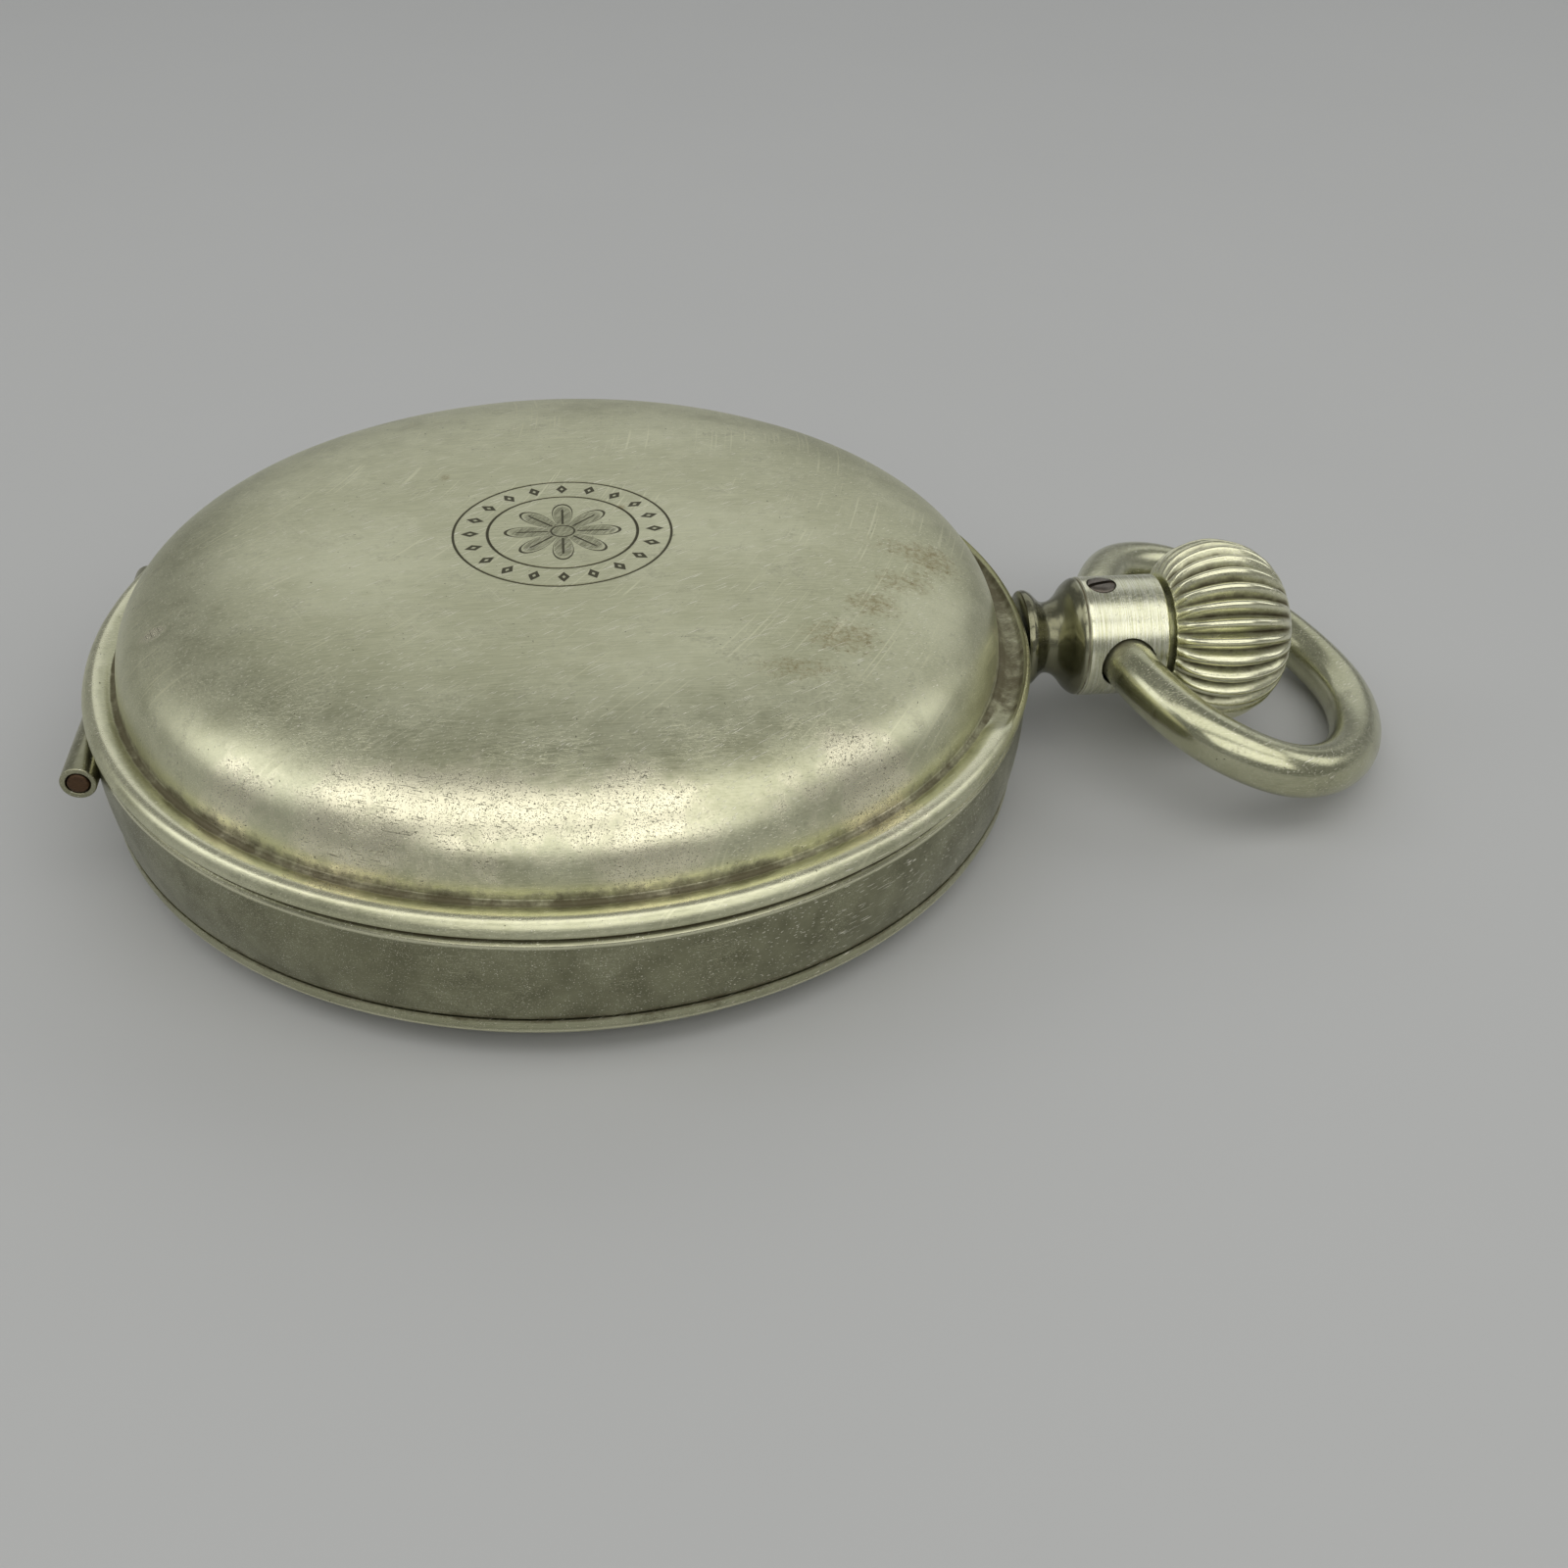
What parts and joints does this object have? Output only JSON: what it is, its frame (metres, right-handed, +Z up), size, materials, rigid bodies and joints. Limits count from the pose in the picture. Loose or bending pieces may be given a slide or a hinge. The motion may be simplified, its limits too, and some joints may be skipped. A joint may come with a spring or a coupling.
{
  "type": "pocket watch",
  "caption": "Open-face pocket watch lying dial down: domed hinged back, stepped pendant, ribbed winding crown and oval bow.",
  "frame": {"origin": "centre of the crystal's flat, on the case axis, where the watch rests", "axes": "+X along the stem to the crown and bow, +Z up from the dial side to the domed back, hinge on the -X side"},
  "size_m": [0.0734, 0.0512, 0.0141],
  "materials": {
    "nickel_silver": "satin, worn, with tarnish in the grooves",
    "nickel_movement": "damascened satin",
    "gilt": "gilded satin",
    "steel": "polished",
    "blued_steel": "heat-blued, polished",
    "aged_pin": "browned and dull",
    "enamel": "gloss enamel",
    "crystal": "polished",
    "ruby": "polished"
  },
  "bodies": {
    "case": {"case_band": "nickel_silver", "bezel": "nickel_silver", "pendant": "nickel_silver", "crystal": "crystal", "back_hinge_pin": "aged_pin", "inner_hinge_pin": "aged_pin", "pendant_screw": "aged_pin", "stem_sleeve": "steel", "dial": "enamel", "main_plate": "nickel_movement", "barrel_bridge": "nickel_movement", "train_bridge": "nickel_movement", "balance_cock": "nickel_movement", "pallet_bridge": "nickel_movement", "centre_jewel": "ruby", "third_jewel": "ruby", "fourth_jewel": "ruby", "escape_jewel": "ruby", "balance_jewel": "ruby", "barrel_bridge_screw_a": "steel", "barrel_bridge_screw_b": "steel", "barrel_bridge_screw_c": "steel", "train_bridge_screw_a": "steel", "train_bridge_screw_b": "steel", "balance_cock_screw": "steel", "case_screw_a": "steel", "case_screw_b": "steel", "crown_wheel_core": "steel", "click_screw": "steel", "hairspring": "blued_steel"},
    "back_cover": {"back_cover": "nickel_silver"},
    "inner_cover": {"inner_cover": "nickel_silver"},
    "bow": {"bow": "nickel_silver"},
    "stem": {"winding_arbor": "steel", "winding_pinion": "steel", "clutch_pinion": "steel"},
    "crown": {"crown": "nickel_silver", "crown_stem": "steel"},
    "crown_wheel": {"crown_wheel": "steel"},
    "ratchet": {"ratchet_wheel": "steel", "ratchet_screw": "steel", "barrel_arbor": "steel"},
    "click": {"click": "steel"},
    "barrel": {"barrel_drum": "gilt", "barrel_lid": "gilt", "mainspring": "steel"},
    "centre": {"centre_wheel": "gilt", "cannon_pinion": "steel", "minute_hand": "blued_steel"},
    "third": {"third_wheel": "gilt"},
    "fourth": {"fourth_wheel": "gilt", "seconds_hand": "blued_steel"},
    "escape": {"escape_wheel": "steel"},
    "minute_wheel": {"minute_wheel": "gilt"},
    "hour": {"hour_wheel": "gilt", "hour_hand": "blued_steel"},
    "pallet": {"pallet_fork": "steel"},
    "balance": {"balance_wheel": "gilt"},
    "regulator": {"regulator": "steel"}
  },
  "joints": [
    {"name": "back_cover_hinge", "type": "hinge", "parent": "case", "child": "back_cover", "pos_m": [-0.0245, 0, 0.0064], "axis": [0, -1, 0], "range_deg": [0, 90]},
    {"name": "inner_cover_hinge", "type": "hinge", "parent": "case", "child": "inner_cover", "pos_m": [-0.0222, 0, 0.0074], "axis": [0, -1, 0], "range_deg": [0, 77]},
    {"name": "bow_swing", "type": "hinge", "parent": "case", "child": "bow", "pos_m": [0.0314, 0, 0.0062], "axis": [0, -1, 0], "range_deg": [-70, 105]},
    {"name": "stem_spin", "type": "hinge", "parent": "case", "child": "stem", "pos_m": [0.02, 0, 0.0062], "axis": [1, 0, 0], "continuous": true},
    {"name": "crown_pull", "type": "slide", "parent": "stem", "child": "crown", "axis": [1, 0, 0], "range_m": [0, 0.001]},
    {"name": "crown_wheel_spin", "type": "hinge", "parent": "case", "child": "crown_wheel", "pos_m": [0.01412, 0, 0.00835], "axis": [0, 0, 1], "continuous": true},
    {"name": "ratchet_spin", "type": "hinge", "parent": "case", "child": "ratchet", "pos_m": [0.00763, 0.00477, 0.00835], "axis": [0, 0, 1], "continuous": true},
    {"name": "click_pivot", "type": "hinge", "parent": "case", "child": "click", "pos_m": [0.00453, 0.0106, 0.00835], "axis": [0, 0, 1], "range_deg": [0, 15], "stiffness_Nm_per_rad": 0.000002},
    {"name": "fourth_spin", "type": "hinge", "parent": "case", "child": "fourth", "pos_m": [-0.0095, 0, 0.0054], "axis": [0, 0, 1], "continuous": true},
    {"name": "third_spin", "type": "hinge", "parent": "case", "child": "third", "pos_m": [-0.00554, 0.00385, 0.0058], "axis": [0, 0, 1], "continuous": true},
    {"name": "centre_spin", "type": "hinge", "parent": "case", "child": "centre", "pos_m": [0, 0, 0.0054], "axis": [0, 0, 1], "continuous": true},
    {"name": "barrel_spin", "type": "hinge", "parent": "case", "child": "barrel", "pos_m": [0.00763, 0.00477, 0.0052], "axis": [0, 0, 1], "continuous": true},
    {"name": "escape_spin", "type": "hinge", "parent": "case", "child": "escape", "pos_m": [-0.00813, -0.0051, 0.006], "axis": [0, 0, 1], "continuous": true},
    {"name": "minute_wheel_spin", "type": "hinge", "parent": "case", "child": "minute_wheel", "pos_m": [0.0018, -0.00312, 0.0034], "axis": [0, 0, 1], "continuous": true},
    {"name": "hour_spin", "type": "hinge", "parent": "case", "child": "hour", "pos_m": [0, 0, 0.0032], "axis": [0, 0, 1], "continuous": true},
    {"name": "pallet_rock", "type": "hinge", "parent": "case", "child": "pallet", "pos_m": [-0.00561, -0.00722, 0.0059], "axis": [0, 0, 1], "range_deg": [-4, 4]},
    {"name": "balance_swing", "type": "hinge", "parent": "case", "child": "balance", "pos_m": [-0.0016, -0.0106, 0.007], "axis": [0, 0, 1], "range_deg": [-220, 220], "stiffness_Nm_per_rad": 0.0000013},
    {"name": "regulator_turn", "type": "hinge", "parent": "case", "child": "regulator", "pos_m": [-0.0016, -0.0106, 0.0086], "axis": [0, 0, 1], "range_deg": [-12, 12]}
  ],
  "couplings": [
    {"joint": "inner_cover_hinge", "follows": "back_cover_hinge", "ratio": 0.85},
    {"joint": "crown_wheel_spin", "follows": "stem_spin", "ratio": -0.5},
    {"joint": "ratchet_spin", "follows": "stem_spin", "ratio": 0.375},
    {"joint": "third_spin", "follows": "fourth_spin", "ratio": -0.13333},
    {"joint": "centre_spin", "follows": "fourth_spin", "ratio": 0.016667},
    {"joint": "barrel_spin", "follows": "fourth_spin", "ratio": -0.0020833},
    {"joint": "escape_spin", "follows": "fourth_spin", "ratio": -10},
    {"joint": "minute_wheel_spin", "follows": "fourth_spin", "ratio": -0.0055556},
    {"joint": "hour_spin", "follows": "fourth_spin", "ratio": 0.0013889}
  ]
}
